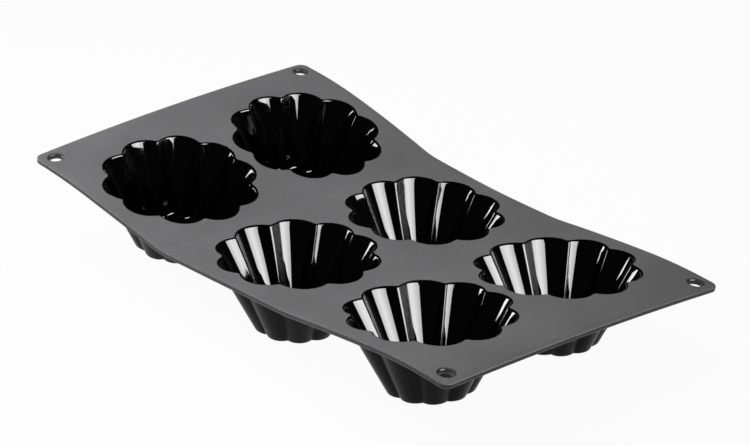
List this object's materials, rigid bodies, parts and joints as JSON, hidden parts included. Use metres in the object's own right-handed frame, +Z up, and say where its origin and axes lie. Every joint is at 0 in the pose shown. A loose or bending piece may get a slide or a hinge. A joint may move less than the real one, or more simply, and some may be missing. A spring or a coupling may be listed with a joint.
{
  "type": "brioche mould",
  "caption": "Flexible baking mould: a thin sheet with deep fluted cups in rows, hanging holes in its corners and strips between the columns that bend.",
  "frame": {"origin": "on the table, under the middle of the whole mould's box as it stands with both ends raised", "axes": "+X along the sheet towards the less raised end, +Y from the front row of cups to the back row, +Z up out of the cups' mouths"},
  "size_m": [0.2982, 0.1762, 0.0575],
  "materials": {
    "sheet": "matte dark grey silicone",
    "web": "matte dark grey silicone",
    "cup": "glossy near-black silicone inside, satin outside",
    "floor": "glossy near-black silicone"
  },
  "bodies": {
    "middle": {"middle_panel": "sheet", "left_web": "web", "right_web": "web", "cup_middle_front": "cup", "cup_middle_back": "cup"},
    "left": {"left_panel": "sheet", "cup_left_front": "cup", "cup_left_back": "cup"},
    "right": {"right_panel": "sheet", "cup_right_front": "cup", "cup_right_back": "cup"},
    "floor_left_front": {"floor_left_front": "floor"},
    "floor_left_back": {"floor_left_back": "floor"},
    "floor_middle_front": {"floor_middle_front": "floor"},
    "floor_middle_back": {"floor_middle_back": "floor"},
    "floor_right_front": {"floor_right_front": "floor"},
    "floor_right_back": {"floor_right_back": "floor"}
  },
  "joints": [
    {"name": "left_web_flex", "type": "hinge", "parent": "middle", "child": "left", "pos_m": [-0.04611, 0, 0.03595], "axis": [0, 1, 0], "range_deg": [-51.5, 48.5], "stiffness_Nm_per_rad": 0.3, "springref_deg": 6.05, "deforming": ["left_web"]},
    {"name": "right_web_flex", "type": "hinge", "parent": "middle", "child": "right", "pos_m": [0.04491, 0, 0.03595], "axis": [0, -1, 0], "range_deg": [-45.5, 54.5], "stiffness_Nm_per_rad": 0.3, "springref_deg": 6.02, "deforming": ["right_web"]},
    {"name": "floor_push_left_front", "type": "slide", "parent": "left", "child": "floor_left_front", "axis": [0.1823, -0.0322, 0.9827], "range_m": [0, 0.012], "stiffness_N_per_m": 100, "springref_m": -0.012, "deforming": ["cup_left_front"]},
    {"name": "floor_push_left_back", "type": "slide", "parent": "left", "child": "floor_left_back", "axis": [0.2099, -0.0357, 0.9771], "range_m": [0, 0.012], "stiffness_N_per_m": 100, "springref_m": -0.012, "deforming": ["cup_left_back"]},
    {"name": "floor_push_middle_front", "type": "slide", "parent": "middle", "child": "floor_middle_front", "axis": [0, 0, 1], "range_m": [0, 0.012], "stiffness_N_per_m": 100, "springref_m": -0.012, "deforming": ["cup_middle_front"]},
    {"name": "floor_push_middle_back", "type": "slide", "parent": "middle", "child": "floor_middle_back", "axis": [0, 0, 1], "range_m": [0, 0.012], "stiffness_N_per_m": 100, "springref_m": -0.012, "deforming": ["cup_middle_back"]},
    {"name": "floor_push_right_front", "type": "slide", "parent": "right", "child": "floor_right_front", "axis": [-0.1024, 0.0405, 0.9939], "range_m": [0, 0.012], "stiffness_N_per_m": 100, "springref_m": -0.012, "deforming": ["cup_right_front"]},
    {"name": "floor_push_right_back", "type": "slide", "parent": "right", "child": "floor_right_back", "axis": [-0.0843, 0.035, 0.9958], "range_m": [0, 0.012], "stiffness_N_per_m": 100, "springref_m": -0.012, "deforming": ["cup_right_back"]}
  ]
}
